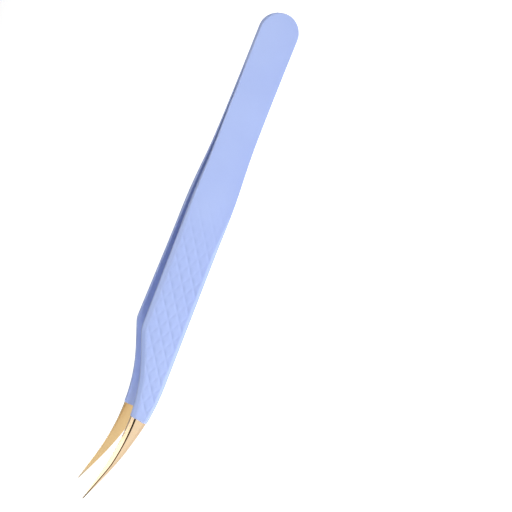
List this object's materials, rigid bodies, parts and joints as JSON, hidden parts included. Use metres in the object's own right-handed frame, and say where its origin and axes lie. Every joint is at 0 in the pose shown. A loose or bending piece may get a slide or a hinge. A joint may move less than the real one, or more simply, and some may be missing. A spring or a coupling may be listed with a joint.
{
  "type": "curved precision tweezers",
  "caption": "Spring-steel precision tweezers with curved gold tips, a satin powder-coated body, diamond-textured grips and leaf springs welded together at the round tail.",
  "frame": {"origin": "middle of the bounding box's bottom face: midway between the round tail end and the points, on the mirror plane, at the level of the straight back edges that the tweezers stand on", "axes": "+X along the tweezers towards the tail, +Y across from the left arm to the right arm, +Z from the straight back edges towards the belly side that the tips curve to"},
  "size_m": [0.125, 0.014, 0.0104],
  "materials": {
    "powder_coat": "satin",
    "textured_powder_coat": "satin",
    "gold_tip": "polished",
    "spring_steel": "satin",
    "weld_steel": "satin"
  },
  "bodies": {
    "tail": {"tail_spot_welds": "weld_steel", "left_tail_leaf": "spring_steel", "left_tail_coat": "powder_coat", "right_tail_leaf": "spring_steel", "right_tail_coat": "powder_coat"},
    "left_arm": {"left_spring_leaf": "spring_steel", "left_spring_coat": "powder_coat", "left_grip_core": "spring_steel", "left_grip_coat": "textured_powder_coat", "left_tip": "gold_tip"},
    "right_arm": {"right_spring_leaf": "spring_steel", "right_spring_coat": "powder_coat", "right_grip_core": "spring_steel", "right_grip_coat": "textured_powder_coat", "right_tip": "gold_tip"}
  },
  "joints": [
    {"name": "left_flex", "type": "hinge", "parent": "tail", "child": "left_arm", "pos_m": [0.0385, -0.00061, 0.0052], "axis": [0, 0, -1], "range_deg": [0, 3.53], "stiffness_Nm_per_rad": 3},
    {"name": "right_flex", "type": "hinge", "parent": "tail", "child": "right_arm", "pos_m": [0.0385, 0.00061, 0.0052], "axis": [0, 0, 1], "range_deg": [0, 3.53], "stiffness_Nm_per_rad": 3}
  ]
}
